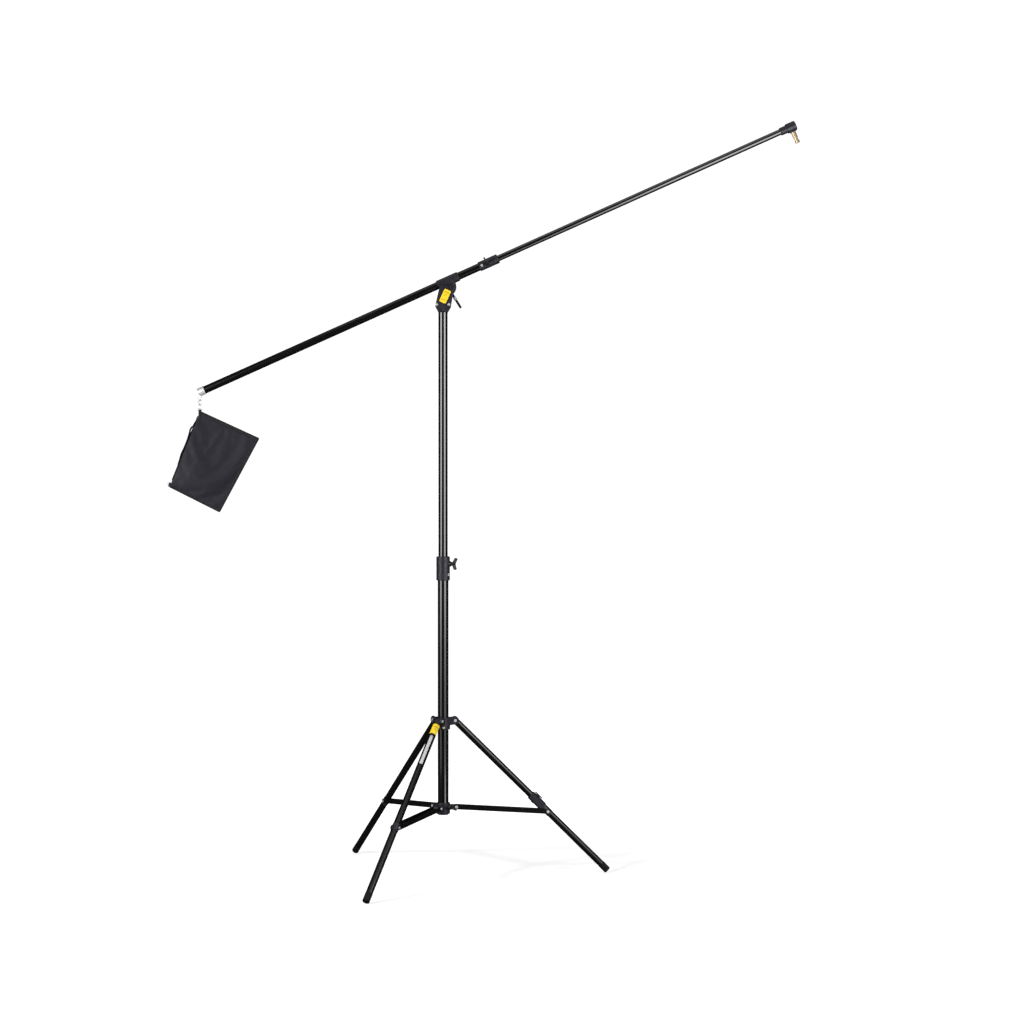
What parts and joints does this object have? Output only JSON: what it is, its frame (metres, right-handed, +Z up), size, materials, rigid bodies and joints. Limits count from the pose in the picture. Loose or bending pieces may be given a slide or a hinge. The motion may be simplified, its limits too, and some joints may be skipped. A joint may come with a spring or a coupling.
{
  "type": "boom stand",
  "caption": "Braced folding light stand with a telescoping column, a tilting head that clamps a telescoping boom arm, and a counterweight bag on the boom's tail.",
  "frame": {"origin": "on the floor, under the column's axis", "axes": "+Z up along the column, +X towards the side that the boom rises to, +Y to the rear"},
  "size_m": [2.0569, 0.949, 2.4544],
  "materials": {
    "black_tube": "gloss",
    "dark_casting": "satin",
    "black_plastic": "satin",
    "foot_rubber": "matte",
    "bright_steel": "satin",
    "bright_cap": "satin",
    "brass": "satin",
    "friction_fibre": "matte",
    "bag_nylon": "matte",
    "bag_webbing": "matte"
  },
  "bodies": {
    "column": {"lower_column_tube": "black_tube", "column_bottom_plug": "black_plastic", "leg_hub_casting": "dark_casting", "column_screws": "bright_steel", "column_lock_collar": "dark_casting", "column_collar_bush": "black_plastic", "leg_pivot_pins": "bright_steel"},
    "column_lock_knob": {"column_lock_knob": "black_plastic"},
    "leg_back": {"leg_tube_back": "black_tube", "leg_top_plug_back": "black_plastic", "leg_foot_back": "foot_rubber", "leg_saddle_back": "dark_casting"},
    "leg_front": {"leg_tube_front": "black_tube", "leg_top_plug_front": "black_plastic", "leg_foot_front": "foot_rubber", "leg_saddle_front": "dark_casting"},
    "leg_right": {"leg_tube_right": "black_tube", "leg_top_plug_right": "black_plastic", "leg_foot_right": "foot_rubber", "levelling_sleeve": "dark_casting"},
    "levelling_knob": {"levelling_knob": "black_plastic"},
    "brace_hub": {"brace_hub_casting": "dark_casting", "brace_hub_pins": "bright_steel"},
    "brace_hub_knob": {"brace_hub_knob": "black_plastic"},
    "brace_back": {"brace_channel_back": "black_tube", "brace_rivets_back": "bright_steel"},
    "brace_front": {"brace_channel_front": "black_tube", "brace_rivets_front": "bright_steel"},
    "brace_right": {"brace_channel_right": "black_tube", "brace_rivets_right": "bright_steel"},
    "riser_guide": {"riser_guide_cup": "black_plastic"},
    "riser": {"riser_tube": "black_tube", "head_arm_front": "dark_casting", "head_arm_rear": "dark_casting", "head_bolts": "bright_steel", "pivot_bolt": "dark_casting"},
    "tilt_lever": {"tilt_lever": "dark_casting", "tilt_lever_ferrule": "bright_steel"},
    "boom_clamp": {"boom_clamp_sleeve": "dark_casting", "friction_washers": "friction_fibre"},
    "boom_outer": {"boom_outer_tube": "black_tube", "boom_lock_collar": "dark_casting", "boom_collar_screw": "bright_steel", "boom_collar_bush": "black_plastic", "boom_tail_cap": "bright_cap"},
    "boom_lock_knob": {"boom_lock_knob": "black_plastic"},
    "boom_inner": {"boom_inner_tube": "black_tube", "inner_guide_bush": "black_plastic", "tip_head": "dark_casting", "tip_spigot": "brass"},
    "snap_hook": {"split_ring": "bright_steel", "snap_hook": "bright_steel"},
    "hook_gate": {"snap_hook_gate": "bright_steel"},
    "bag": {"swivel_eye": "bright_steel", "bag_body": "bag_nylon", "bag_corner_straps": "bag_webbing", "bag_lower_clip": "bright_steel", "bag_handle": "bag_webbing"}
  },
  "joints": [
    {"name": "leg_back_fold", "type": "hinge", "parent": "column", "child": "leg_back", "pos_m": [-0.02208, 0.03154, 0.50572], "axis": [0.8192, 0.5736, 0], "range_deg": [-34.2, 0]},
    {"name": "leg_front_fold", "type": "hinge", "parent": "column", "child": "leg_front", "pos_m": [-0.01627, -0.03489, 0.50572], "axis": [-0.9063, 0.4226, 0], "range_deg": [-34.22, 0]},
    {"name": "leg_right_fold", "type": "hinge", "parent": "column", "child": "leg_right", "pos_m": [0.03835, 0.00335, 0.50572], "axis": [0.0872, -0.9962, 0], "range_deg": [-34.22, 0]},
    {"name": "levelling_knob_turn", "type": "hinge", "parent": "leg_right", "child": "levelling_knob", "pos_m": [0.2999, 0.02624, 0.245], "axis": [0.702, 0.0614, 0.7096], "continuous": true},
    {"name": "brace_hub_slide", "type": "slide", "parent": "column", "child": "brace_hub", "axis": [0, 0, 1], "range_m": [0, 0.15214]},
    {"name": "brace_hub_knob_turn", "type": "hinge", "parent": "brace_hub", "child": "brace_hub_knob", "pos_m": [0, 0, 0.22371], "axis": [0.682, -0.7314, 0], "continuous": true},
    {"name": "brace_back_swing", "type": "hinge", "parent": "brace_hub", "child": "brace_back", "pos_m": [-0.02432, 0.03473, 0.22371], "axis": [-0.8192, -0.5736, 0], "range_deg": [0, 71.3]},
    {"name": "brace_front_swing", "type": "hinge", "parent": "brace_hub", "child": "brace_front", "pos_m": [-0.01792, -0.03843, 0.22371], "axis": [0.9063, -0.4226, 0], "range_deg": [0, 71.3]},
    {"name": "brace_right_fold", "type": "hinge", "parent": "brace_hub", "child": "brace_right", "pos_m": [0.04224, 0.00369, 0.22371], "axis": [-0.0872, 0.9962, 0], "range_deg": [0, 71.3]},
    {"name": "column_slide", "type": "slide", "parent": "column", "child": "riser_guide", "axis": [0, 0, 1], "range_m": [-0.7, 0.03]},
    {"name": "boom_pan", "type": "hinge", "parent": "riser_guide", "child": "riser", "pos_m": [0, 0, 0.93671], "axis": [0, 0, 1], "continuous": true},
    {"name": "column_lock_knob_turn", "type": "hinge", "parent": "column", "child": "column_lock_knob", "pos_m": [0, 0, 1.01472], "axis": [0.9397, -0.342, 0], "continuous": true},
    {"name": "tilt_lever_turn", "type": "hinge", "parent": "riser", "child": "tilt_lever", "pos_m": [0.0175, 0, 1.91372], "axis": [0, 1, 0], "range_deg": [-90, 90]},
    {"name": "boom_tilt", "type": "hinge", "parent": "riser", "child": "boom_clamp", "pos_m": [0.0175, 0, 1.91372], "axis": [0, -1, 0], "range_deg": [-60, 28]},
    {"name": "boom_slide", "type": "slide", "parent": "boom_clamp", "child": "boom_outer", "axis": [0.9121, 0, 0.4099], "range_m": [-0.05, 0.35]},
    {"name": "boom_extend", "type": "slide", "parent": "boom_outer", "child": "boom_inner", "axis": [0.9121, 0, 0.4099], "range_m": [-0.93, 0.03]},
    {"name": "boom_lock_knob_turn", "type": "hinge", "parent": "boom_outer", "child": "boom_lock_knob", "pos_m": [0.14329, 0, 1.98998], "axis": [0, -1, 0], "continuous": true},
    {"name": "bag_swing", "type": "hinge", "parent": "boom_outer", "child": "snap_hook", "pos_m": [-0.78749, 0, 1.55084], "axis": [0, 1, 0], "range_deg": [-50, 40]},
    {"name": "hook_gate_open", "type": "hinge", "parent": "snap_hook", "child": "hook_gate", "pos_m": [-0.79029, -0.00485, 1.53314], "axis": [-0.866, 0.5, 0], "range_deg": [0, 25], "stiffness_Nm_per_rad": 0.01, "springref_deg": -11.46},
    {"name": "bag_swivel", "type": "hinge", "parent": "snap_hook", "child": "bag", "pos_m": [-0.78749, 0, 1.51254], "axis": [0, 0, 1], "continuous": true}
  ],
  "couplings": [
    {"joint": "leg_front_fold", "follows": "leg_back_fold", "ratio": 1},
    {"joint": "leg_right_fold", "follows": "leg_back_fold", "ratio": 1},
    {"joint": "brace_hub_slide", "follows": "leg_back_fold", "m_per_rad": -0.25475},
    {"joint": "brace_back_swing", "follows": "leg_back_fold", "ratio": -2.0837},
    {"joint": "brace_front_swing", "follows": "leg_back_fold", "ratio": -2.0837},
    {"joint": "brace_right_fold", "follows": "leg_back_fold", "ratio": -2.0837}
  ]
}
